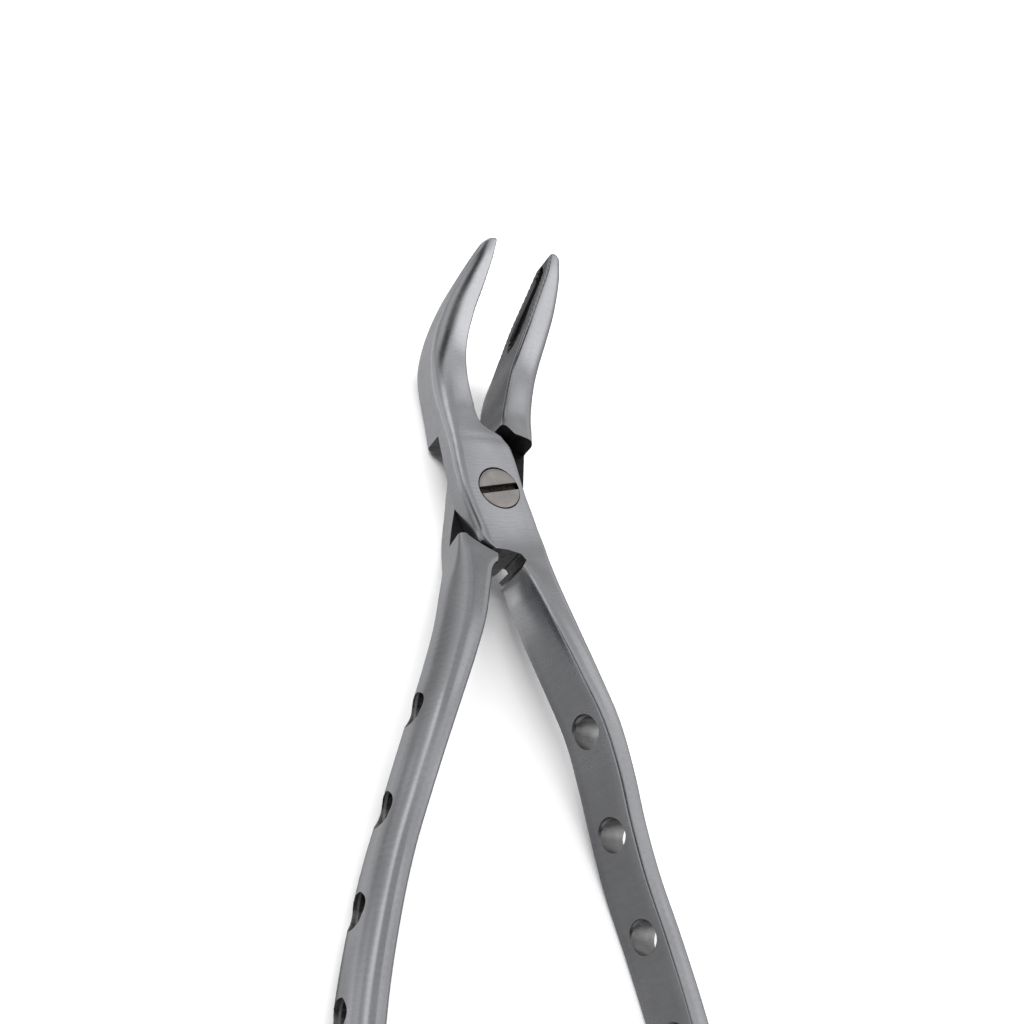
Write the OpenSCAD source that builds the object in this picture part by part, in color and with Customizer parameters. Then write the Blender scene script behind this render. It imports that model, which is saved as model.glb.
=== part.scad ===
// Dental extraction forceps for upper roots: two crossed steel halves on one pivot screw.
//
// Frame: the origin is on the pivot axis, in the plane of the joint's rear face.
// +Z runs along the pivot axis towards the screw head, +Y towards the tips of the beaks.
// Each half is laid out closed and then turned by half_open about the pivot axis.

/* [Opening] */
// Angle that each half stands away from closed
half_open = 7; // [0:0.5:12]

/* [Joint] */
// Thickness of the joint through both lap plates
joint_t = 10; // [9:0.5:11]
// Gap between the two lap faces
lap_gap = 0.1; // [0.05:0.05:0.3]
// Radius of the lower edge of each lap plate, about the pivot
plate_r = 12.2; // [11.8:0.1:12.3]
// How far the inner end of that edge drops towards the handle
plate_drop = 0.8; // [0.2:0.1:0.8]
// Radius of the handle shoulder at its outer end, where the other plate slides past
shoulder_r = 12.6; // [12.5:0.1:12.8]
// How much further from the pivot the inner end of the handle shoulder is
shoulder_rise = 1.1; // [0:0.1:1.2]
// Distance from the pivot to the beak shoulders
beak_shoulder = 11.2; // [11:0.1:11.6]
// Direction of the beak shoulders' normal, from +X
shoulder_dir = 49; // [45:1:53]

/* [Pivot screw] */
// Diameter of the screw head
head_d = 7.6; // [7:0.1:8]
// Thickness of the screw head
head_t = 2.2; // [1.8:0.1:2.6]
// Gap round the screw head
head_gap = 0.15; // [0.1:0.05:0.3]
// Diameter of the shank
shank_d = 5; // [4:0.1:5.4]
// Running clearance of the front half on the shank, on the radius
running_gap = 0.05; // [0.03:0.01:0.1]
// Width of the driver slot
slot_w = 1.2; // [0.6:0.1:1.4]
// Depth of the driver slot
slot_t = 1; // [0.6:0.1:1.2]
// Turn of the driver slot from +X
slot_turn = 19; // [0:1:180]

/* [Handle holes] */
// Diameter of the holes through the handles
hole_d = 5.2; // [4.5:0.1:5.6]
// Distance from the pivot to the first hole, along Y
hole_first = 44.6; // [42:0.2:46]
// Distance from one hole to the next, along Y
hole_pitch = 16; // [14:1:18]
// Number of holes in each handle
hole_count = 5; // [1:1:5]
// Tilt of the holes, down to the rear on the outer side
hole_tilt = 16; // [0:1:18]
// Distance of the holes behind the handle's middle
hole_drop = 0.7; // [0:0.1:0.8]

/* [Loft] */
// Longest step between two rings of the loft
ring_step = 2.6; // [2:0.1:5]
// Segments round each corner of a ring
corner_steps = 5; // [3:1:6]
// Length over which the handle end is rounded
end_round = 4; // [3:0.5:5]
// Size of the rear corners of a ring, as a share of the front ones
rear_share = 0.65; // [0.5:0.05:1]

/* [Hidden] */
$fn = 64;
steel = "#b9bbbd";
screw_steel = "#c6c1bb";
big = 40;
mid_z = joint_t / 2;
free_gap = 0.2;
edge_low = -plate_r - plate_drop;
inner_low = edge_low - 0.8;

// Inner end of each half's handle shoulder: bevelled off on the front half, square on the rear half
front_inner_edge = [[free_gap, edge_low - 3.2], [0.7, edge_low - 2.3], [1.5, edge_low - 1.3], [1, edge_low]];
rear_inner_edge = [[free_gap, inner_low], [free_gap, edge_low]];
front_inner_end = -82;
rear_inner_end = -90;

// Stations of the front half, closed, from the tip of its beak to the end of its handle.
// The beak is on the left (-X) and the handle on the right (+X).
Y = 0;          // place along the half
LEFT = 1;       // left side
RIGHT = 2;      // right side
BACK = 3;       // rear side
FRONT = 4;      // front side
LEFT_LEAN = 5;  // how far the left side leans to the right from back to front
RIGHT_LEAN = 6; // the same for the right side
LEFT_RX = 7;    // front corner's size across, on the left
LEFT_RZ = 8;    // front corner's size up, on the left
RIGHT_RX = 9;   // front corner's size across, on the right
RIGHT_RZ = 10;  // front corner's size up, on the right
stations = [
    // beak, which bows out and curves up to the front
    [40.4, -2.6, -0.2, 21.2, 26.5, 0, 0, 1.5, 2.2, 0.4, 0.5],
    [38, -4.2, -0.5, 16.0, 24.5, 0, 0, 2.7, 3.6, 0.5, 0.7],
    [35, -5.8, -0.8, 9.8, 20.5, 0, 0, 3.6, 4.4, 0.6, 0.8],
    [32, -6.6, -1.2, 4.9, 16.2, 0, 0, 3.8, 4.2, 0.6, 0.9],
    [29, -6.9, -1.3, 1.7, 12.8, 0, -0.1, 3.7, 3.8, 0.6, 0.9],
    [26, -7.0, -1.0, 0.3, 10.7, 0, -0.5, 3.4, 3.4, 0.6, 0.9],
    [22, -7.0, -0.65, 0.0, 9.6, 0, -0.9, 3.0, 3.2, 0.6, 0.9],
    [18, -6.9, -0.5, 0.0, 9.3, 0, -0.6, 2.5, 2.8, 0.7, 0.9],
    // crotch and joint plate
    [15, -6.9, -0.4, 0.0, 9.5, 0, -0.4, 2.2, 2.5, 1.0, 1.2],
    [12.8, -6.9, 0.3, 0.0, 9.7, 0, 0, 2.0, 2.3, 1.0, 1.0],
    [10.9, -6.9, 4.6, 0.0, 9.9, 0, -3.0, 1.8, 2.1, 1.2, 1.0],
    [10.3, -6.9, 5.1, 0.0, 9.9, 0, -3.3, 1.8, 2.1, 1.2, 1.0],
    [9, -6.9, 5.35, 0.0, 10.0, 0, -2.2, 1.7, 2.0, 1.2, 1.0],
    [7, -6.9, 5.3, 0.0, 10.0, 0, -1.3, 1.7, 1.9, 1.2, 1.0],
    [5, -6.9, 5.25, 0.0, 10.0, 0, -0.7, 1.6, 1.8, 1.2, 1.0],
    [0, -6.7, 5.5, 0.0, 10.0, 0, -0.4, 1.5, 1.7, 1.2, 1.0],
    [-4, -6.1, 5.9, 0.0, 10.0, 0, 0.2, 1.5, 1.7, 1.2, 1.1],
    [-7.5, -5.3, 6.2, 0.0, 10.0, 0, 0.6, 1.5, 1.7, 1.1, 1.1],
    [-10.5, -4.7, 6.4, 0.5, 10.2, 0, 0.9, 1.5, 1.6, 1.0, 1.0],
    [-13, -2.4, 6.6, 1.4, 10.7, 0, 0.7, 1.3, 1.1, 1.4, 1.5],
    [-16, 0.5, 7.0, 2.7, 11.6, 0.2, 0.2, 1.8, 0.9, 2.0, 2.6],
    // handle, hollowed towards the rear at first and then level with the joint's rear face
    [-20, 1.1, 7.8, 3.8, 12.6, 1.4, -0.6, 2.0, 0.8, 2.7, 4.4],
    [-28, 2.2, 9.0, 4.9, 14.1, 1.9, -1.1, 2.1, 0.8, 3.3, 5.4],
    [-36, 4.0, 10.5, 5.2, 14.7, 2.0, -1.2, 2.1, 0.8, 3.3, 5.5],
    [-44, 6.0, 12.1, 4.9, 14.8, 2.0, -1.2, 2.1, 0.8, 3.3, 5.5],
    [-52, 7.6, 13.4, 3.3, 13.6, 2.0, -1.1, 2.1, 0.8, 3.3, 5.5],
    [-60, 8.9, 14.6, 1.6, 11.7, 2.0, -1.0, 2.1, 0.8, 3.3, 5.5],
    [-68, 10.2, 15.9, 0.3, 10.4, 2.0, -1.0, 2.1, 0.8, 3.3, 5.4],
    [-78, 11.6, 17.3, 0.0, 10.2, 1.9, -1.0, 2.1, 0.8, 3.3, 5.3],
    [-90, 12.7, 18.4, 0.0, 10.2, 1.7, -1.0, 2.1, 0.8, 3.3, 5.2],
    [-102, 13.0, 18.7, 0.0, 10.3, 1.4, -1.0, 2.1, 0.9, 3.2, 5.1],
    [-114, 12.4, 18.3, 0.0, 10.3, 1.1, -0.9, 2.1, 1.0, 3.1, 4.8],
    [-124, 11.5, 17.6, 0.0, 10.2, 0.9, -0.8, 2.1, 1.2, 3.0, 4.6],
];
last = len(stations) - 1;

// Slope of the stations' values at station i, from its two neighbours
function slope(i) =
    let (a = stations[max(i - 1, 0)], b = stations[min(i + 1, last)])
    (b - a) / (b[Y] - a[Y]);

// Station between i and i + 1, at fraction t: a cubic through both, with their slopes
function between(i, t) =
    let (
        a = stations[i],
        b = stations[i + 1],
        run = b[Y] - a[Y],
        s = (1 - t) * (1 - t)
    )
    a * (1 + 2 * t) * s
        + slope(i) * run * t * s
        + b * t * t * (3 - 2 * t)
        - slope(i + 1) * run * t * t * (1 - t);

// Station at any y along the half
function index_at(y, i = 0) = i == last - 1 || y >= stations[i + 1][Y] ? i : index_at(y, i + 1);
function station_at(y) =
    let (i = index_at(y), a = stations[i][Y], b = stations[i + 1][Y])
    between(i, (y - a) / (b - a));

// Station beyond the last one, where the handle's end is rounded off
function end_station(a) =
    let (
        s = stations[last],
        k = sqrt(cos(a)),
        cx = (s[LEFT] + s[RIGHT]) / 2,
        cz = (s[BACK] + s[FRONT]) / 2
    )
    [
        s[Y] - end_round * sin(a),
        cx + k * (s[LEFT] - cx),
        cx + k * (s[RIGHT] - cx),
        cz + k * (s[BACK] - cz),
        cz + k * (s[FRONT] - cz),
        k * s[LEFT_LEAN],
        k * s[RIGHT_LEAN],
        k * s[LEFT_RX],
        k * s[LEFT_RZ],
        k * s[RIGHT_RX],
        k * s[RIGHT_RZ]
    ];

function steps(i) = ceil((stations[i][Y] - stations[i + 1][Y]) / ring_step);
end_angles = [30, 50, 66, 78, 85];
rows = concat(
    [for (i = [0:last - 1], k = [0:steps(i) - 1]) between(i, k / steps(i))],
    [stations[last]],
    [for (a = end_angles) end_station(a)]
);

// One rounded corner: sx and sz say which corner it is
function corner(x, z, rx, rz, sx, sz, from) =
    [for (k = [0:corner_steps])
        let (a = from + 90 * k / corner_steps)
        [x - sx * rx + rx * cos(a), z - sz * rz + rz * sin(a)]];

function outline(s) =
    let (w = rear_share)
    concat(
        corner(s[RIGHT], s[FRONT], s[RIGHT_RX], s[RIGHT_RZ], 1, 1, 0),
        corner(s[LEFT], s[FRONT], s[LEFT_RX], s[LEFT_RZ], -1, 1, 90),
        corner(s[LEFT], s[BACK], w * s[LEFT_RX], w * s[LEFT_RZ], -1, -1, 180),
        corner(s[RIGHT], s[BACK], w * s[RIGHT_RX], w * s[RIGHT_RZ], 1, -1, 270)
    );

// A leaning side's front edge moves right and its rear edge left
function leaned(s, p) =
    let (
        up = (p[1] - s[BACK]) / (s[FRONT] - s[BACK]) - 0.5,
        across = (p[0] - s[LEFT]) / (s[RIGHT] - s[LEFT])
    )
    [p[0] + up * (s[LEFT_LEAN] * (1 - across) + s[RIGHT_LEAN] * across), s[Y], p[1]];

// The whole front half before the joint is cut, as one loft
module strip() {
    ring = 4 * (corner_steps + 1);
    n = len(rows);
    points = [for (s = rows, p = outline(s)) leaned(s, p)];
    sides = [for (i = [0:n - 2], k = [0:ring - 1])
        let (
            a = i * ring + k,
            b = i * ring + (k + 1) % ring
        )
        each [[a, a + ring, b + ring], [a, b + ring, b]]];
    tip = [for (k = [0:ring - 1]) k];
    end = [for (k = [0:ring - 1]) n * ring - 1 - k];
    polyhedron(points, concat(sides, [tip, end]), convexity = 8);
}

// Points round the pivot, at a radius that goes from r1 to r2
function arc(r1, r2, from, to, n) =
    [for (k = [0:n])
        let (a = from + (to - from) * k / n, r = r1 + (r2 - r1) * k / n)
        r * [cos(a), sin(a)]];

// Height of the beak shoulder's line at x, on the left side
function shoulder_y(x) = (beak_shoulder + x * cos(shoulder_dir)) / sin(shoulder_dir);

// Where the other half's plate lies and swings, in plan.
// The shoulder's line turns level towards the outer side.
module lap_region(inner_end) {
    crotch_x = 1.2;
    level_x = -2.6;
    flat_x = 5.6;
    flat_y = -11.1;
    outer_end = -64;
    polygon(concat(
        [[-big, shoulder_y(level_x)], [level_x, shoulder_y(level_x)]],
        [[crotch_x, shoulder_y(crotch_x)]],
        [[big, shoulder_y(crotch_x)], [big, flat_y], [flat_x, flat_y]],
        arc(shoulder_r, shoulder_r + shoulder_rise, outer_end, inner_end, 12),
        [[0, inner_low], [-big, inner_low]]
    ));
}

// Where the other half's handle lies at full thickness, in plan
module other_handle(inner_edge) {
    polygon(concat(
        [[free_gap, -big]],
        inner_edge,
        arc(plate_r, plate_r, -96, -170, 24),
        [[-big, 0], [-big, -big]]
    ));
}

// Holes through the handle, tilted down to the rear on the outer side
module handle_holes() {
    for (k = [0:hole_count - 1]) {
        y = -(hole_first + hole_pitch * k);
        s = station_at(y);
        translate([(s[LEFT] + s[RIGHT]) / 2, y, (s[BACK] + s[FRONT]) / 2 - hole_drop])
            rotate([0, 90 + hole_tilt, 0])
                cylinder(d = hole_d, h = 24, center = true);
    }
}

// One half, closed, beak on the left. The lap is cut from cut_z upwards over cut_h.
module half(cut_z, cut_h, inner_end, inner_edge) {
    difference() {
        strip();
        translate([0, 0, cut_z])
            linear_extrude(cut_h)
                lap_region(inner_end);
        translate([0, 0, -1])
            linear_extrude(joint_t + 6)
                other_handle(inner_edge);
        handle_holes();
    }
}

module front_half() {
    color(steel)
        rotate([0, 0, half_open])
            difference() {
                half(-1, mid_z + lap_gap / 2 + 1, front_inner_end, front_inner_edge);
                translate([0, 0, -1])
                    cylinder(r = shank_d / 2 + running_gap, h = joint_t + 2);
                translate([0, 0, joint_t - head_t - running_gap])
                    cylinder(r = head_d / 2 + head_gap, h = head_t + 2);
            }
}

module rear_half() {
    color(steel)
        rotate([0, 0, -half_open])
            mirror([1, 0, 0])
                difference() {
                    half(mid_z - lap_gap / 2, joint_t, rear_inner_end, rear_inner_edge);
                    translate([0, 0, -1])
                        cylinder(d = shank_d, h = joint_t + 2);
                }
}

module pivot_screw() {
    foot = 0.3;
    color(screw_steel)
        difference() {
            union() {
                translate([0, 0, foot])
                    cylinder(d = shank_d, h = joint_t - head_t - foot);
                translate([0, 0, joint_t - head_t])
                    cylinder(d = head_d, h = head_t);
            }
            translate([0, 0, joint_t - slot_t / 2 + 0.5])
                rotate([0, 0, slot_turn])
                    cube([head_d + 2, slot_w, slot_t + 1], center = true);
        }
}

front_half();
rear_half();
pivot_screw();
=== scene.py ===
"""Extraction forceps, open, lying on a pale floor under soft studio light.

Both halves are lofted again at a fine step from the same stations as the CAD model, so that
the beaks can have their hollow and their serrations. Lengths are millimetres until
finished() turns a piece's mesh into metres, and angles are degrees. The floor, the lights
and the materials are in metres.
"""
import math
import random

import bmesh
import bpy
from mathutils import Matrix, Vector


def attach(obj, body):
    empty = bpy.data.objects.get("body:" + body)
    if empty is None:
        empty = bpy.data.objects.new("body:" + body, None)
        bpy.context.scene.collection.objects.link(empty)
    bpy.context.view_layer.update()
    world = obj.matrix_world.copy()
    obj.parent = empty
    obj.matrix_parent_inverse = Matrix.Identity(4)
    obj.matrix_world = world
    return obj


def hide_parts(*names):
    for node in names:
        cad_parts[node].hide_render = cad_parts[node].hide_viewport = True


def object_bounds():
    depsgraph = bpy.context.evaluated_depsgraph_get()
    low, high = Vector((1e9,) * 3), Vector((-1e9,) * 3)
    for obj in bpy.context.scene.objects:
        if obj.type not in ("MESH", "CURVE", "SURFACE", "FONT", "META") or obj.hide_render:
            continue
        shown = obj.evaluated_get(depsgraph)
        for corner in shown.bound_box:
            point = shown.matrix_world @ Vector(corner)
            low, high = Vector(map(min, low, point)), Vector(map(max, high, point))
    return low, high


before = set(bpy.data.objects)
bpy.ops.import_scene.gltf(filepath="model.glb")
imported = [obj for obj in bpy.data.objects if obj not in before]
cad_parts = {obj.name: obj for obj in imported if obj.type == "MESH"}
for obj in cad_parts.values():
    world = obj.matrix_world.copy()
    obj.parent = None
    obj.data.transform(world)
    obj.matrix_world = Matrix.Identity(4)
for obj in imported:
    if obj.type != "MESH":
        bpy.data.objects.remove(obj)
cad_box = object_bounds()

MM = 0.001

# ---------------------------------------------------------------------------------------
# Measures shared with the CAD model
# ---------------------------------------------------------------------------------------
HALF_OPEN = 7.0                 # each half's turn from closed, at rest
JOINT_T = 10.0
LAP_GAP = 0.1
# Lap plate's lower edge, and how much lower it ends beside the other handle
PLATE_R = 12.2
PLATE_DROP = 0.8
# Handle shoulder: radius and angle at its outer end, what it gains up to its inner end
SHOULDER_R = 12.6
SHOULDER_START = -64
SHOULDER_RISE = 1.1
SHOULDER_OUTER = (5.6, -11.1)
# Beak shoulder: distance from the pivot, turn from the Y axis, and the two x beyond which
# it runs level
BEAK_SHOULDER = 11.2
SHOULDER_DIR = 49.0
LEVEL_X = -2.6
CROTCH_X = 1.2
# Pivot screw, its slot and the clearances round it
HEAD_D = 7.6
HEAD_T = 2.2
HEAD_GAP = 0.15
SHANK_D = 5.0
RUNNING_GAP = 0.05
SLOT_W = 1.2
SLOT_T = 1.0
SLOT_TURN = 19.0
# Holes across the handles, and how far they sit behind the middle of the thickness
HOLE_D = 5.2
HOLE_FIRST = 44.6
HOLE_PITCH = 16.0
HOLE_COUNT = 5
HOLE_TILT = 16.0
HOLE_DROP = 0.7
END_ROUND = 4.0
REAR_SHARE = 0.65               # rear edges' rounding, as a share of the front edges'
FREE_GAP = 0.2                  # how near a closed half's handle comes to the middle
EDGE_LOW = -PLATE_R - PLATE_DROP
INNER_LOW = EDGE_LOW - 0.8
# Inner end of the handle shoulder: its angle, and the corner in plan
FRONT_INNER = (-82, [(FREE_GAP, EDGE_LOW - 3.2), (0.7, EDGE_LOW - 2.3), (1.5, EDGE_LOW - 1.3),
                     (1.0, EDGE_LOW)])
REAR_INNER = (-90, [(FREE_GAP, INNER_LOW), (FREE_GAP, EDGE_LOW)])
BIG = 40.0                      # past the piece, in plan
PAST = 1                        # how far a cutter runs past a face

# Columns of a station, and the stations of the front half, closed, from tip to handle end
(Y, LEFT, RIGHT, BACK, FRONT, LEFT_LEAN, RIGHT_LEAN,
 LEFT_RX, LEFT_RZ, RIGHT_RX, RIGHT_RZ) = range(11)
STATIONS = [
    # beak, which bows out and curves up to the front
    [40.4, -2.6, -0.2, 21.2, 26.5, 0, 0, 1.5, 2.2, 0.4, 0.5],
    [38, -4.2, -0.5, 16.0, 24.5, 0, 0, 2.7, 3.6, 0.5, 0.7],
    [35, -5.8, -0.8, 9.8, 20.5, 0, 0, 3.6, 4.4, 0.6, 0.8],
    [32, -6.6, -1.2, 4.9, 16.2, 0, 0, 3.8, 4.2, 0.6, 0.9],
    [29, -6.9, -1.3, 1.7, 12.8, 0, -0.1, 3.7, 3.8, 0.6, 0.9],
    [26, -7.0, -1.0, 0.3, 10.7, 0, -0.5, 3.4, 3.4, 0.6, 0.9],
    [22, -7.0, -0.65, 0.0, 9.6, 0, -0.9, 3.0, 3.2, 0.6, 0.9],
    [18, -6.9, -0.5, 0.0, 9.3, 0, -0.6, 2.5, 2.8, 0.7, 0.9],
    # crotch and joint plate
    [15, -6.9, -0.4, 0.0, 9.5, 0, -0.4, 2.2, 2.5, 1.0, 1.2],
    [12.8, -6.9, 0.3, 0.0, 9.7, 0, 0, 2.0, 2.3, 1.0, 1.0],
    [10.9, -6.9, 4.6, 0.0, 9.9, 0, -3.0, 1.8, 2.1, 1.2, 1.0],
    [10.3, -6.9, 5.1, 0.0, 9.9, 0, -3.3, 1.8, 2.1, 1.2, 1.0],
    [9, -6.9, 5.35, 0.0, 10.0, 0, -2.2, 1.7, 2.0, 1.2, 1.0],
    [7, -6.9, 5.3, 0.0, 10.0, 0, -1.3, 1.7, 1.9, 1.2, 1.0],
    [5, -6.9, 5.25, 0.0, 10.0, 0, -0.7, 1.6, 1.8, 1.2, 1.0],
    [0, -6.7, 5.5, 0.0, 10.0, 0, -0.4, 1.5, 1.7, 1.2, 1.0],
    [-4, -6.1, 5.9, 0.0, 10.0, 0, 0.2, 1.5, 1.7, 1.2, 1.1],
    [-7.5, -5.3, 6.2, 0.0, 10.0, 0, 0.6, 1.5, 1.7, 1.1, 1.1],
    [-10.5, -4.7, 6.4, 0.5, 10.2, 0, 0.9, 1.5, 1.6, 1.0, 1.0],
    [-13, -2.4, 6.6, 1.4, 10.7, 0, 0.7, 1.3, 1.1, 1.4, 1.5],
    [-16, 0.5, 7.0, 2.7, 11.6, 0.2, 0.2, 1.8, 0.9, 2.0, 2.6],
    # handle, hollowed towards the rear at first and then level with the joint's rear face
    [-20, 1.1, 7.8, 3.8, 12.6, 1.4, -0.6, 2.0, 0.8, 2.7, 4.4],
    [-28, 2.2, 9.0, 4.9, 14.1, 1.9, -1.1, 2.1, 0.8, 3.3, 5.4],
    [-36, 4.0, 10.5, 5.2, 14.7, 2.0, -1.2, 2.1, 0.8, 3.3, 5.5],
    [-44, 6.0, 12.1, 4.9, 14.8, 2.0, -1.2, 2.1, 0.8, 3.3, 5.5],
    [-52, 7.6, 13.4, 3.3, 13.6, 2.0, -1.1, 2.1, 0.8, 3.3, 5.5],
    [-60, 8.9, 14.6, 1.6, 11.7, 2.0, -1.0, 2.1, 0.8, 3.3, 5.5],
    [-68, 10.2, 15.9, 0.3, 10.4, 2.0, -1.0, 2.1, 0.8, 3.3, 5.4],
    [-78, 11.6, 17.3, 0.0, 10.2, 1.9, -1.0, 2.1, 0.8, 3.3, 5.3],
    [-90, 12.7, 18.4, 0.0, 10.2, 1.7, -1.0, 2.1, 0.8, 3.3, 5.2],
    [-102, 13.0, 18.7, 0.0, 10.3, 1.4, -1.0, 2.1, 0.9, 3.2, 5.1],
    [-114, 12.4, 18.3, 0.0, 10.3, 1.1, -0.9, 2.1, 1.0, 3.1, 4.8],
    [-124, 11.5, 17.6, 0.0, 10.2, 0.9, -0.8, 2.1, 1.2, 3.0, 4.6],
]
LAST = len(STATIONS) - 1


def mixed(*terms):
    """Weighted sum of rows: (weight, row), ..."""
    return [sum(w * row[i] for w, row in terms) for i in range(11)]


def slope(i):
    """Change of the stations per millimetre at station i."""
    a, b = STATIONS[max(i - 1, 0)], STATIONS[min(i + 1, LAST)]
    run = b[Y] - a[Y]
    return mixed((1 / run, b), (-1 / run, a))


def station_at(y):
    """Station at y, on the cubic through its two neighbours."""
    i = 0
    while i < LAST - 1 and y < STATIONS[i + 1][Y]:
        i += 1
    a, b = STATIONS[i], STATIONS[i + 1]
    run = b[Y] - a[Y]
    t = (y - a[Y]) / run
    s = (1 - t) ** 2
    return mixed((s * (1 + 2 * t), a), (run * t * s, slope(i)),
                 (t * t * (3 - 2 * t), b), (-run * t * t * (1 - t), slope(i + 1)))


def end_station(angle):
    """Station past the last one, where the handle's end is rounded off."""
    s = STATIONS[LAST]
    k = math.sqrt(math.cos(math.radians(angle)))
    cx, cz = (s[LEFT] + s[RIGHT]) / 2, (s[BACK] + s[FRONT]) / 2
    row = [k * v for v in s]
    row[Y] = s[Y] - END_ROUND * math.sin(math.radians(angle))
    row[LEFT], row[RIGHT] = cx + k * (s[LEFT] - cx), cx + k * (s[RIGHT] - cx)
    row[BACK], row[FRONT] = cz + k * (s[BACK] - cz), cz + k * (s[FRONT] - cz)
    return row


# ---------------------------------------------------------------------------------------
# Loft of one half
# ---------------------------------------------------------------------------------------
CORNER_STEPS = 8
SIDE_STEPS = (8, 6, 4, 18)      # front face, outer side, rear face, inner side
CROWN = 0.03                    # how far a front face bulges, as a share of its width

TIP, HANDLE_END = STATIONS[0][Y], STATIONS[LAST][Y]
TIP_ROUND = 0.5
TIP_STEPS = 6
END_ANGLES = (12, 24, 36, 46, 56, 64, 71, 77, 82, 86)
# Distance from ring to ring: on a tooth, on the rest of the beak and the joint, on the handle
RINGS_PER_TOOTH = 6
JOINT_STEP, JOINT_END = 0.5, -22
HANDLE_STEP = 1.0

TEETH_END = 31.4                # the beaks' inner faces are serrated from the tip to here
CUT_END = TEETH_END - 1.5       # and have no relief below here
TOOTH_PITCH = 0.56
TOOTH_DEPTH = 0.09
TOOTH_FALL, TOOTH_RISE = 0.7, 0.3   # shares of the pitch on a tooth's two flanks
FLUTE_DEPTH = 0.85
FLUTE_HALF = 0.23               # half width of the flute, as a share of the face
# The flute starts this far below the teeth and opens over that length, and so from the tip
FLUTE_BELOW, FLUTE_OPENS = 1.0, 3.0
TIP_MARGIN, TIP_OPENS = 0.3, 1.5
INNER_SIDE = 0.93               # share of a half's width beyond which its inner side starts

# Material slots of a half, and of the screw's driver slot
STEEL, LAP, BORE, JAW = range(4)
# the screw's slot for the near-black painted shade of its driver slot
SLOT_SHADE = 1
JAW_END = 12.8                  # the beaks' inner faces start here
AROUND = 40.0                   # what u gains round a ring


def smooth(t):
    t = min(max(t, 0.0), 1.0)
    return t * t * (3 - 2 * t)


def flute_ends(y):
    """How far the flute is open at y, from 0 beyond its ends to 1."""
    low = smooth((y - TEETH_END + FLUTE_BELOW) / FLUTE_OPENS)
    return low * smooth((TIP - TIP_MARGIN - y) / TIP_OPENS)


def jaw_painted_light_slot(y, q):
    """Material of the beak's inner face: the darker jaw steel of painted shade, near-black
    painted shade in the flute, and a painted highlight of light satin on its front wall.
    """
    least, painted_highlight_from = 0.06, 0.3
    wide = FLUTE_HALF * math.sqrt(flute_ends(y))
    off = q - 0.5
    if wide < least or abs(off) > wide:
        return JAW
    return LAP if off < painted_highlight_from * wide else STEEL


def relief(y, q):
    """How deep the beak's inner face is cut at y, q of the way from its rear to its front."""
    rim_fade, teeth_fade = 0.04, 0.8
    if y < CUT_END:
        return 0.0
    off = abs(q - 0.5)
    ends = flute_ends(y)
    wide = FLUTE_HALF * math.sqrt(ends)
    flute = math.sqrt(1 - (off / wide) ** 2) if off < wide else 0.0
    rim = smooth((off - FLUTE_HALF) / rim_fade)
    phase = (y / TOOTH_PITCH) % 1.0
    if phase < TOOTH_FALL:
        tooth = 1 - phase / TOOTH_FALL
    else:
        tooth = (phase - TOOTH_FALL) / TOOTH_RISE
    toothed = smooth((y - TEETH_END) / teeth_fade)
    return ends * FLUTE_DEPTH * flute + toothed * TOOTH_DEPTH * rim * tooth


def ring(s):
    """Points round one station, starting at the inner side's front corner."""
    def corner(x, z, rx, rz, sx, sz, start):
        for k in range(CORNER_STEPS + 1):
            a = math.radians(start + 90 * k / CORNER_STEPS)
            yield x - sx * rx + rx * math.cos(a), z - sz * rz + rz * math.sin(a)

    w = REAR_SHARE
    crown = CROWN * max(s[RIGHT] - s[LEFT] - s[RIGHT_RX] - s[LEFT_RX], 0)
    front = s[FRONT] - crown
    corners = [
        list(corner(s[RIGHT], front, s[RIGHT_RX], s[RIGHT_RZ], 1, 1, 0)),
        list(corner(s[LEFT], front, s[LEFT_RX], s[LEFT_RZ], -1, 1, 90)),
        list(corner(s[LEFT], s[BACK], w * s[LEFT_RX], w * s[LEFT_RZ], -1, -1, 180)),
        list(corner(s[RIGHT], s[BACK], w * s[RIGHT_RX], w * s[RIGHT_RZ], 1, -1, 270)),
    ]
    flat = []
    for c, steps in enumerate(SIDE_STEPS):
        flat += corners[c]
        a, b = corners[c][-1], corners[(c + 1) % 4][0]
        for k in range(1, steps):
            t = k / steps
            bulge = crown * (1 - (2 * t - 1) ** 2) if c == 0 else 0
            flat.append((a[0] + t * (b[0] - a[0]), a[1] + t * (b[1] - a[1]) + bulge))
    out = []
    for x, z in flat:
        up = (z - s[BACK]) / (s[FRONT] - s[BACK]) - 0.5
        across = (x - s[LEFT]) / (s[RIGHT] - s[LEFT])
        if across > INNER_SIDE:
            x -= relief(s[Y], up + 0.5)
        lean = s[LEFT_LEAN] * (1 - across) + s[RIGHT_LEAN] * across
        out.append((x + up * lean, s[Y], z))
    return out


def inset(s, d):
    """Station s with all its sides moved in by d, and its roundings made smaller."""
    share, least = 0.6, 0.15
    row = list(s)
    row[LEFT], row[RIGHT] = s[LEFT] + d, s[RIGHT] - d
    row[BACK], row[FRONT] = s[BACK] + d, s[FRONT] - d
    for c in (LEFT_RX, LEFT_RZ, RIGHT_RX, RIGHT_RZ):
        row[c] = max(s[c] - share * d, least)
    return row


def ring_step(y):
    """Distance from the ring at y to the next."""
    if y > CUT_END:
        return TOOTH_PITCH / RINGS_PER_TOOTH
    return JOINT_STEP if y > JOINT_END else HANDLE_STEP


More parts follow.
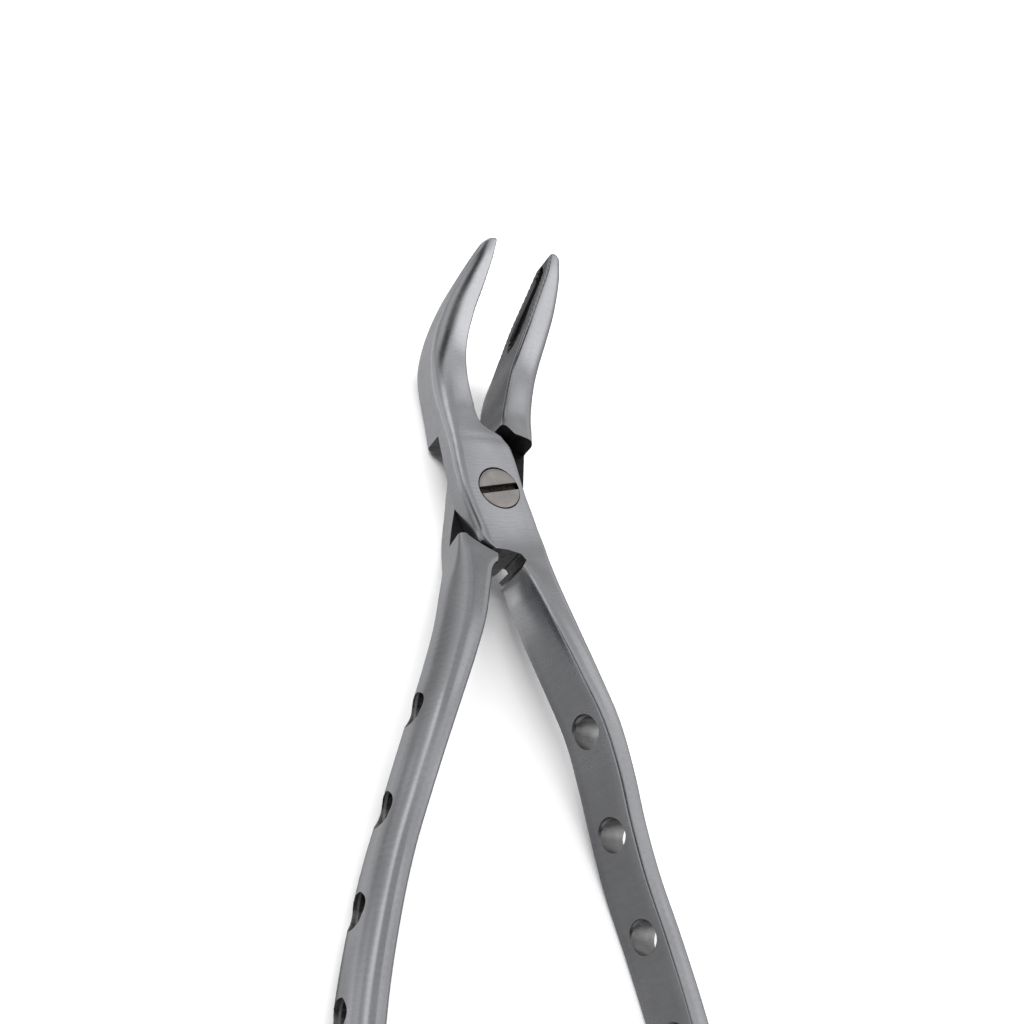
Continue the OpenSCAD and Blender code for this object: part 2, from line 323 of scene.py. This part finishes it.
def half_rows():
    """All the stations of the loft, from the rounded tip to the handle's rounded end."""
    rows = []
    for k in range(TIP_STEPS):
        a = math.radians(90 * k / TIP_STEPS)
        s = station_at(TIP - TIP_ROUND * (1 - math.cos(a)))
        rows.append(inset(s, TIP_ROUND * (1 - math.sin(a))))
    y = TIP - TIP_ROUND
    while y > HANDLE_END:
        rows.append(station_at(y))
        y -= ring_step(y)
    rows.append(station_at(HANDLE_END))
    rows += [end_station(a) for a in END_ANGLES]
    return rows


def loft(name):
    """The whole half, closed, before the joint is cut.

    Its UVs make a fine grain, not lengthwise brush marks: u runs round a ring, and v jumps
    from ring to ring and is stretched more the further a face is from the inner side.
    """
    bm = bmesh.new()
    uv = bm.loops.layers.uv.new("run")
    rings = [[bm.verts.new(p) for p in ring(s)] for s in half_rows()]
    n = len(rings[0])
    inner_steps = SIDE_STEPS[-1]
    for i, (a, b) in enumerate(zip(rings, rings[1:])):
        for k in range(n):
            j = (k + 1) % n
            face = bm.faces.new((a[k], a[j], b[j], b[k]))
            up = k - (n - inner_steps)
            # The beaks' inner faces take painted shade, with a painted highlight on the flute's
            # front wall
            if up >= 0 and a[k].co.y > JAW_END:
                face.material_index = jaw_painted_light_slot(a[k].co.y, (up + 0.5) / inner_steps)
            for loop, du, dv in zip(face.loops, (0, 1, 1, 0), (0, 0, up, up)):
                loop[uv].uv = (AROUND * (k + du) / n, (inner_steps - 1) * i + dv)
    bm.faces.new(list(reversed(rings[0])))
    bm.faces.new(rings[-1])
    bmesh.ops.recalc_face_normals(bm, faces=bm.faces)
    return solid(name, bm)


def solid(name, bm):
    """Object made of the bmesh."""
    me = bpy.data.meshes.new(name)
    bm.to_mesh(me)
    bm.free()
    ob = bpy.data.objects.new(name, me)
    bpy.context.scene.collection.objects.link(ob)
    return ob


def prism(name, outline, z0, z1):
    """Upright prism over a plan outline that runs counter-clockwise."""
    bm = bmesh.new()
    low = [bm.verts.new((x, y, z0)) for x, y in outline]
    high = [bm.verts.new((x, y, z1)) for x, y in outline]
    n = len(outline)
    for k in range(n):
        bm.faces.new((low[k], low[(k + 1) % n], high[(k + 1) % n], high[k]))
    bm.faces.new(list(reversed(low)))
    bm.faces.new(high)
    bmesh.ops.recalc_face_normals(bm, faces=bm.faces)
    return solid(name, bm)


def lathe(name, profile, n=96):
    """Turned solid from (radius, height) pairs, which start and end on the axis."""
    bm = bmesh.new()
    rings = []
    for r, z in profile:
        if r == 0:
            rings.append([bm.verts.new((0, 0, z))])
            continue
        turns = [2 * math.pi * k / n for k in range(n)]
        rings.append([bm.verts.new((r * math.cos(a), r * math.sin(a), z)) for a in turns])
    for a, b in zip(rings, rings[1:]):
        for k in range(n):
            j = (k + 1) % n
            if len(a) == 1:
                bm.faces.new((a[0], b[j], b[k]))
            elif len(b) == 1:
                bm.faces.new((a[k], a[j], b[0]))
            else:
                bm.faces.new((a[k], a[j], b[j], b[k]))
    bmesh.ops.recalc_face_normals(bm, faces=bm.faces)
    return solid(name, bm)


def placed(ob, matrix):
    """Move ob's mesh; a mirrored one keeps its faces outward."""
    ob.data.transform(matrix)
    if matrix.determinant() < 0:
        ob.data.flip_normals()
    return ob


def cut(ob, cutter, slot):
    """Take the cutter away from ob; the new faces get the material in this slot."""
    for m in ob.data.materials:
        cutter.data.materials.append(m)
    for p in cutter.data.polygons:
        p.material_index = slot
    mod = ob.modifiers.new("cut", "BOOLEAN")
    mod.operation = "DIFFERENCE"
    mod.solver = "EXACT"
    mod.material_mode = "INDEX"
    mod.object = cutter
    bpy.context.view_layer.update()
    graph = bpy.context.evaluated_depsgraph_get()
    me = bpy.data.meshes.new_from_object(ob.evaluated_get(graph))
    old = ob.data
    ob.modifiers.clear()
    ob.data = me
    me.name = ob.name
    bpy.data.meshes.remove(old)
    bpy.data.objects.remove(cutter)


def on_circle(r, angle):
    a = math.radians(angle)
    return r * math.cos(a), r * math.sin(a)


def arc(r1, r2, start, stop, n, rough=None):
    """n + 1 points whose radius goes from r1 to r2, plus what rough() gives."""
    out = []
    for k in range(n + 1):
        r = r1 + (r2 - r1) * k / n + (rough() if rough else 0)
        out.append(on_circle(r, start + (stop - start) * k / n))
    return out


def shoulder_y(x):
    """The beak shoulder's line."""
    a = math.radians(SHOULDER_DIR)
    return (BEAK_SHOULDER + x * math.cos(a)) / math.sin(a)


def lap_region(inner_end):
    """Plan of the joint between the two shoulders, where a half has only its own plate."""
    steps = 48
    out = [(-BIG, shoulder_y(LEVEL_X)), (LEVEL_X, shoulder_y(LEVEL_X)),
           (CROTCH_X, shoulder_y(CROTCH_X)), (BIG, shoulder_y(CROTCH_X)),
           (BIG, SHOULDER_OUTER[1]), SHOULDER_OUTER]
    out += arc(SHOULDER_R, SHOULDER_R + SHOULDER_RISE, SHOULDER_START, inner_end, steps)
    out += [(0, INNER_LOW), (-BIG, INNER_LOW)]
    return list(reversed(out))


def other_handle(inner_edge, seed):
    """Plan of all that lies below the plate, where the other handle passes.

    The plate's lower edge is left rough from the file.
    """
    edge_start, rough_end, edge_end = -96, -116, -170
    steps, rough_steps, smooth_steps = 20, 60, 40
    least, most = -0.07, 0.02
    rng = random.Random(seed)

    def rough():
        return rng.uniform(least, most)

    out = [(FREE_GAP, -BIG)] + inner_edge
    from_x, from_y = out[-1]
    to_x, to_y = on_circle(PLATE_R, edge_start)
    for k in range(1, steps):
        f = k / steps
        out.append((from_x + f * (to_x - from_x), from_y + f * (to_y - from_y) - rough()))
    out += arc(PLATE_R, PLATE_R, edge_start, rough_end, rough_steps, rough)
    out += arc(PLATE_R, PLATE_R, rough_end - 1, edge_end, smooth_steps)
    out += [(-BIG, 0), (-BIG, -BIG)]
    return list(reversed(out))


def hole_cutter(name, y):
    """Drilled hole with a small chamfer at both of the handle's sides."""
    chamfer, far, n = 0.35, 14.0, 64
    # The chamfers start this far outside the inner side, and this far inside the outer one
    outside, inside = 0.15, 0.25
    s = station_at(y)
    r, half_w = HOLE_D / 2, (s[RIGHT] - s[LEFT]) / 2
    inner, outer = -half_w - outside, half_w - inside
    profile = [(0, -far), (r + chamfer, -far), (r + chamfer, inner), (r, inner + chamfer),
               (r, outer - chamfer), (r + chamfer, outer), (r + chamfer, far), (0, far)]
    ob = lathe(name, profile, n)
    at = ((s[LEFT] + s[RIGHT]) / 2, y, (s[BACK] + s[FRONT]) / 2 - HOLE_DROP)
    tilt = Matrix.Rotation(math.radians(90 + HOLE_TILT), 4, "Y")
    return placed(ob, Matrix.Translation(at) @ tilt)


def screw_hole(front):
    """Profile of the screw's hole: with a seat for the head in front, plain in the rear half."""
    if front:
        chamfer = 0.12
        bore, r = SHANK_D / 2 + RUNNING_GAP, HEAD_D / 2 + HEAD_GAP
        seat = JOINT_T - HEAD_T - RUNNING_GAP
        return [(0, -PAST), (bore, -PAST), (bore, seat), (r, seat), (r, JOINT_T - chamfer),
                (r + chamfer, JOINT_T), (r + chamfer, JOINT_T + PAST), (0, JOINT_T + PAST)]
    chamfer, bore = 0.3, SHANK_D / 2
    return [(0, -PAST), (bore + chamfer, -PAST), (bore + chamfer, 0), (bore, chamfer),
            (bore, JOINT_T), (0, JOINT_T)]


def finished(ob):
    """Merge the cuts' slivers, smooth the shading between sharp edges, go to metres."""
    merge, sliver, sharp = 0.002, 0.001, 32
    bm = bmesh.new()
    bm.from_mesh(ob.data)
    bmesh.ops.remove_doubles(bm, verts=bm.verts, dist=merge)
    bmesh.ops.dissolve_degenerate(bm, edges=bm.edges, dist=sliver)
    bm.to_mesh(ob.data)
    bm.free()
    ob.data.transform(Matrix.Scale(MM, 4))
    for p in ob.data.polygons:
        p.use_smooth = True
    ob.data.set_sharp_from_angle(angle=math.radians(sharp))
    return ob


def half(name, front, materials):
    """One half at rest. It is made as the front half, and mirrored for the rear one."""
    ob = loft(name)
    for m in materials:
        ob.data.materials.append(m)
    mid = JOINT_T / 2
    span = (-PAST, mid + LAP_GAP / 2) if front else (mid - LAP_GAP / 2, mid + JOINT_T)
    inner_end, inner_edge = FRONT_INNER if front else REAR_INNER
    seed = 3 if front else 4
    # The cut faces take painted shade: near black in the rear half's lap recess and the screw
    # bores, mid-dark on the front half's lap faces, the cleared faces and the holes
    cut(ob, prism("lap", lap_region(inner_end), *span), BORE if front else LAP)
    cut(ob, prism("clear", other_handle(inner_edge, seed), -PAST, 1.5 * JOINT_T), BORE)
    for k in range(HOLE_COUNT):
        cut(ob, hole_cutter("hole", -(HOLE_FIRST + HOLE_PITCH * k)), BORE)
    cut(ob, lathe("bore", screw_hole(front)), LAP)
    turn = HALF_OPEN if front else -HALF_OPEN
    matrix = Matrix.Rotation(math.radians(turn), 4, "Z")
    if not front:
        matrix = matrix @ Matrix.Scale(-1, 4, (1, 0, 0))
    placed(ob, matrix)
    return finished(ob)


def slot_section():
    """Section across the driver slot: lips at its top, chamfers at its bottom."""
    w, lip, chamfer = SLOT_W / 2, 0.08, 0.15
    top, low = JOINT_T + PAST, JOINT_T - SLOT_T
    wide = w + lip + PAST
    return [(-wide, top), (-wide, top + lip), (wide, top + lip), (wide, top),
            (w + lip, JOINT_T), (w, JOINT_T - lip), (w, low + chamfer), (w - chamfer, low),
            (-w + chamfer, low), (-w, low + chamfer), (-w, JOINT_T - lip), (-w - lip, JOINT_T)]


def screw(name, materials):
    """Pivot screw: a flat head, flush with the front face, and a shank short of the rear."""
    foot, foot_chamfer, edge, blunt, past_head = 0.3, 0.4, 0.15, 0.05, 6
    r, neck = HEAD_D / 2, SHANK_D / 2
    seat = JOINT_T - HEAD_T
    profile = [(0, foot), (neck - foot_chamfer, foot), (neck, foot + foot_chamfer), (neck, seat),
               (r, seat), (r, JOINT_T - edge), (r - blunt, JOINT_T - blunt), (r - edge, JOINT_T)]
    profile += [(r * f, JOINT_T) for f in (0.8, 0.6, 0.4, 0.2)] + [(0, JOINT_T)]
    ob = lathe(name, profile)
    for m in materials:
        ob.data.materials.append(m)
    slot = prism("slot", slot_section(), -past_head, past_head)
    # The prism's z becomes the slot's length, its y the height
    placed(slot, Matrix.Rotation(math.radians(SLOT_TURN), 4, "Z")
           @ Matrix(((0, 0, 1, 0), (1, 0, 0, 0), (0, 1, 0, 0), (0, 0, 0, 1))))
    # The driver slot's faces take the near-black painted shade
    cut(ob, slot, SLOT_SHADE)
    return finished(ob)


# ---------------------------------------------------------------------------------------
# Materials
# ---------------------------------------------------------------------------------------
class Nodes:
    """Short way to write a material's node tree."""

    def __init__(self, name):
        self.mat = bpy.data.materials.new(name)
        self.mat.use_nodes = True
        self.tree = self.mat.node_tree
        self.shader = self.tree.nodes["Principled BSDF"]

    def add(self, kind, inputs=None, **props):
        node = self.tree.nodes.new(kind)
        for k, v in props.items():
            setattr(node, k, v)
        for k, v in (inputs or {}).items():
            if isinstance(v, bpy.types.NodeSocket):
                self.tree.links.new(v, node.inputs[k])
            else:
                node.inputs[k].default_value = v
        return node

    def link(self, socket, name):
        self.tree.links.new(socket, self.shader.inputs[name])

    def constant(self, name, value):
        self.shader.inputs[name].default_value = value

    def space(self, scale=(1, 1, 1), turn=0.0):
        """Object coordinates, turned about Z and scaled."""
        co = self.add("ShaderNodeTexCoord")
        m = self.add("ShaderNodeMapping", {"Vector": co.outputs["Object"], "Scale": scale,
                                           "Rotation": (0, 0, math.radians(turn))})
        return m.outputs["Vector"]

    def noise(self, vector, scale, detail=2.0, rough=0.5):
        return self.add("ShaderNodeTexNoise", {"Vector": vector, "Scale": scale, "Detail": detail,
                                               "Roughness": rough}).outputs["Fac"]

    def span(self, value, a0, a1, b0, b1):
        """The value, taken from the range a0 to a1 to the range b0 to b1."""
        return self.add("ShaderNodeMapRange", {"Value": value, "From Min": a0, "From Max": a1,
                                               "To Min": b0, "To Max": b1}).outputs["Result"]

    def ramp(self, value, stops):
        node = self.add("ShaderNodeValToRGB", {"Fac": value})
        e = node.color_ramp.elements
        e[0].position, e[0].color = stops[0][0], (*stops[0][1], 1)
        e[1].position, e[1].color = stops[-1][0], (*stops[-1][1], 1)
        for pos, col in stops[1:-1]:
            e.new(pos).color = (*col, 1)
        return node.outputs["Color"]

    def math(self, op, a, b):
        return self.add("ShaderNodeMath", {0: a, 1: b}, operation=op).outputs[0]

    def weighted(self, *terms):
        """Weighted sum of values: (value, weight), ..."""
        total = None
        for value, weight in reversed(terms):
            part = self.math("MULTIPLY", value, weight)
            total = part if total is None else self.math("ADD", part, total)
        return total

    def bump(self, height, strength, distance):
        n = self.add("ShaderNodeBump", {"Height": height, "Strength": strength,
                                        "Distance": distance})
        self.link(n.outputs["Normal"], "Normal")


def satin_steel(name, dark, light):
    """Satin stainless steel: soft clouds of tone, and a fine grain on the loft's UVs."""
    rough = 0.22
    n = Nodes(name)
    run = n.add("ShaderNodeUVMap", uv_map="run").outputs["UV"]
    grain = n.add("ShaderNodeMapping", {"Vector": run, "Scale": (1.0, 0.045, 1.0)})
    brush = n.noise(grain.outputs["Vector"], 5.2, 3, 0.6)
    bands = n.noise(grain.outputs["Vector"], 0.75)
    cloud = n.noise(n.space(), 60, 3, 0.55)
    fleck = n.noise(n.space(), 2400)
    tone = n.weighted((cloud, 0.5), (bands, 0.35), (fleck, 0.15))
    n.link(n.ramp(tone, [(0.36, dark), (0.64, light)]), "Base Color")
    n.link(n.math("ADD", n.span(cloud, 0.3, 0.7, rough - 0.05, rough + 0.06),
                  n.span(brush, 0.3, 0.7, -0.03, 0.03)), "Roughness")
    n.constant("Metallic", 1.0)
    n.constant("Anisotropic", 0.3)
    n.bump(n.weighted((brush, 0.5), (bands, 0.3), (fleck, 0.05)), 0.22, 0.00006)
    return n.mat


def ground_steel_painted_shade(name, dark, light, rough):
    """Steel of the lap faces, shoulders, bores and beaks' inner faces, with fine cross grinding;
    its darker tone is painted shade of these recessed and hidden faces.
    """
    n = Nodes(name)
    lines = n.noise(n.space((0.06, 1.0, 0.4), 25), 4200, 3, 0.6)
    cloud = n.noise(n.space(), 240, 3, 0.6)
    tone = n.weighted((cloud, 0.6), (lines, 0.4))
    n.link(n.ramp(tone, [(0.35, dark), (0.65, light)]), "Base Color")
    n.link(n.span(lines, 0.3, 0.7, rough - 0.06, rough + 0.08), "Roughness")
    n.constant("Metallic", 1.0)
    n.bump(lines, 0.35, 0.00008)
    return n.mat


def screw_face(name):
    """Warmer steel, faced on a lathe: fine rings about the pivot axis, a few scratches."""
    dark, light = (0.42, 0.395, 0.37), (0.56, 0.53, 0.50)
    n = Nodes(name)
    rings = n.add("ShaderNodeTexWave", {"Vector": n.space((1, 1, 0)), "Scale": 1500.0,
                                        "Distortion": 0.6, "Detail": 1.0},
                  wave_type="RINGS", rings_direction="Z").outputs["Fac"]
    scratch = n.noise(n.space((1.0, 0.05, 1.0), 35), 4200, 3, 0.6)
    cloud = n.noise(n.space(), 420, 3, 0.55)
    tone = n.weighted((cloud, 0.6), (scratch, 0.4))
    n.link(n.ramp(tone, [(0.36, dark), (0.64, light)]), "Base Color")
    n.link(n.span(scratch, 0.3, 0.7, 0.34, 0.5), "Roughness")
    n.constant("Metallic", 1.0)
    n.bump(n.weighted((rings, 0.3), (scratch, 0.7)), 0.3, 0.00005)
    return n.mat


def painted_slot_shade(name):
    """Painted shade in the driver slot: near black, with lighter flecks."""
    dark, light = (0.006, 0.005, 0.005), (0.05, 0.045, 0.04)
    n = Nodes(name)
    spots = n.noise(n.space(), 1800, 4, 0.6)
    n.link(n.ramp(spots, [(0.4, dark), (0.62, light)]), "Base Color")
    n.link(n.span(spots, 0.35, 0.65, 0.45, 0.8), "Roughness")
    n.constant("Metallic", 0.4)
    n.bump(spots, 0.5, 0.0001)
    return n.mat


# ---------------------------------------------------------------------------------------
# The pieces
# ---------------------------------------------------------------------------------------
# Painted shade, as darker steels: near black on the rear lap recess, the screw bores and the
# flute, dark grey on the beaks' inner faces, mid-dark on the other cut faces
lap_face = ground_steel_painted_shade("lap_steel_painted_shade", (0.018, 0.018, 0.019), (0.055, 0.055, 0.057), 0.34)
jaw_face = ground_steel_painted_shade("jaw_steel_painted_shade", (0.13, 0.13, 0.135), (0.21, 0.21, 0.215), 0.26)
bore_face = ground_steel_painted_shade("bore_steel_painted_shade", (0.15, 0.15, 0.15), (0.33, 0.325, 0.32), 0.3)

# The rear half's satin is a little darker, as in the picture: painted shade on a copy of the same
# steel
satin_front = satin_steel("satin_front", (0.50, 0.505, 0.52), (0.60, 0.605, 0.615))
front = half("front_half_forged", True, [satin_front, lap_face, bore_face, jaw_face])
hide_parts("front_half")
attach(front, "front_arm")

satin_rear_painted_shade = satin_steel("satin_rear_painted_shade", (0.44, 0.445, 0.46), (0.53, 0.535, 0.545))
rear = half("rear_half_forged", False, [satin_rear_painted_shade, lap_face, bore_face, jaw_face])
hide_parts("rear_half")
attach(rear, "rear_arm")

# The screw's second material is the painted shade of its driver slot
pin = screw("pivot_screw_turned", [screw_face("screw_face"), painted_slot_shade("slot_painted_shade")])
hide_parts("pivot_screw")
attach(pin, "rear_arm")


# ---------------------------------------------------------------------------------------
# Floor, light, camera
# ---------------------------------------------------------------------------------------
def floor():
    """A pale floor under the rear face. The steel doesn't mirror it, but the studio below it."""
    bm = bmesh.new()
    bmesh.ops.create_grid(bm, x_segments=1, y_segments=1, size=3)
    ob = solid("floor", bm)
    ob.location.z = cad_box[0][2]
    n = Nodes("pale_floor")
    tone = n.noise(n.space(), 12)
    n.link(n.ramp(tone, [(0.3, (0.86, 0.86, 0.86)), (0.7, (0.89, 0.89, 0.89))]), "Base Color")
    n.constant("Roughness", 0.9)
    ob.data.materials.append(n.mat)
    ob.visible_glossy = False


def area(name, at, size, power):
    """Area light that shines at the pivot and isn't mirrored in the steel."""
    light = bpy.data.lights.new(name, "AREA")
    light.shape = "RECTANGLE"
    light.size, light.size_y = size
    light.energy = power
    ob = bpy.data.objects.new(name, light)
    bpy.context.scene.collection.objects.link(ob)
    ob.location = at
    ob.rotation_euler = (-Vector(at)).to_track_quat("-Z", "Y").to_euler()
    ob.visible_glossy = False


# Brightness by height of direction, from straight down (0) to straight up (1)
LEVELS = ((0.0, 0.14), (0.13, 0.19), (0.35, 0.36), (0.5, 0.54), (0.65, 0.62), (1.0, 0.62))

# Soft patches: direction, cosine at the outer and the inner edge, factor on the level
PATCHES = (
    ((0.60, -0.75, 0.20), 0.55, 0.96, 1.9),
    ((-0.15, 0.65, 0.74), 0.80, 0.95, 0.72),
    ((-0.80, 0.50, 0.33), 0.955, 0.99, 1.7),
    ((-0.07, 0.67, -0.74), 0.925, 0.975, 2.7),
    ((-0.57, 0.36, -0.74), 0.93, 0.975, 2.6),
    ((-0.84, 0.38, -0.36), 0.955, 0.985, 2.0),
    ((-0.92, 0.12, -0.37), 0.86, 0.97, 0.85),
    ((0.43, 0.52, 0.74), 0.93, 0.995, 1.4),
    ((0.43, 0.77, 0.48), 0.93, 0.985, 0.62),
    # a long dark strip, which runs down the beaks' outer front corner
    ((-0.22, -0.86, 0.46), 0.945, 0.985, 0.15),
    ((-0.44, -0.74, 0.52), 0.93, 0.985, 0.1),
    ((-0.56, -0.50, 0.66), 0.93, 0.985, 0.1),
    ((-0.74, -0.22, 0.63), 0.94, 0.985, 0.12),
    ((-0.88, 0.03, 0.47), 0.95, 0.985, 0.25),
    ((-0.94, 0.28, 0.19), 0.97, 0.99, 0.6),
)


def studio():
    """Surroundings that the steel mirrors: dark below, lighter above, with the soft patches."""
    world = bpy.data.worlds.new("studio")
    bpy.context.scene.world = world
    world.use_nodes = True
    tree = world.node_tree
    new, link = tree.nodes.new, tree.links.new
    co = new("ShaderNodeTexCoord").outputs["Generated"]

    xyz = new("ShaderNodeSeparateXYZ")
    link(co, xyz.inputs[0])
    up = new("ShaderNodeMapRange")
    up.inputs["From Min"].default_value = -1.0
    link(xyz.outputs["Z"], up.inputs["Value"])
    ramp = new("ShaderNodeValToRGB")
    link(up.outputs["Result"], ramp.inputs["Fac"])
    e = ramp.color_ramp.elements
    e[0].position, e[1].position = LEVELS[0][0], LEVELS[-1][0]
    for pos, _ in LEVELS[1:-1]:
        e.new(pos)
    for item, (_, v) in zip(e, LEVELS):
        item.color = (v, v, v * 1.02, 1)
    value = ramp.outputs["Color"]

    for direction, outer, inner, factor in PATCHES:
        dot = new("ShaderNodeVectorMath")
        dot.operation = "DOT_PRODUCT"
        link(co, dot.inputs[0])
        dot.inputs[1].default_value = Vector(direction).normalized()
        fall = new("ShaderNodeMapRange")
        fall.interpolation_type = "SMOOTHSTEP"
        fall.inputs["From Min"].default_value = outer
        fall.inputs["From Max"].default_value = inner
        fall.inputs["To Min"].default_value = 1.0
        fall.inputs["To Max"].default_value = factor
        link(dot.outputs["Value"], fall.inputs["Value"])
        mul = new("ShaderNodeVectorMath")
        mul.operation = "SCALE"
        link(value, mul.inputs[0])
        link(fall.outputs["Result"], mul.inputs["Scale"])
        value = mul.outputs["Vector"]
    link(value, tree.nodes["Background"].inputs["Color"])


def camera():
    """Above and to the left of the handles, turned so that the forceps stand upright."""
    azimuth, polar, roll = -39.36, 42.47, 42.66
    aim, distance = Vector((2.56, -3.6, 8.9)), 305.3
    turn = (Matrix.Rotation(math.radians(azimuth), 4, "Z")
            @ Matrix.Rotation(math.radians(polar), 4, "X")
            @ Matrix.Rotation(math.radians(roll), 4, "Z"))
    data = bpy.data.cameras.new("camera")
    data.lens, data.sensor_width = 63.9, 36
    data.clip_start = 0.01
    ob = bpy.data.objects.new("camera", data)
    bpy.context.scene.collection.objects.link(ob)
    back = turn @ Vector((0, 0, 1))
    ob.matrix_world = Matrix.Translation((aim + distance * back) * MM) @ turn
    bpy.context.scene.camera = ob


floor()
studio()
camera()
area("key", (-0.5, 0.45, 0.55), (0.35, 0.8), 9)
area("top", (0.25, 0.35, 0.8), (0.9, 0.9), 9)
bpy.context.scene.view_settings.view_transform = "Standard"
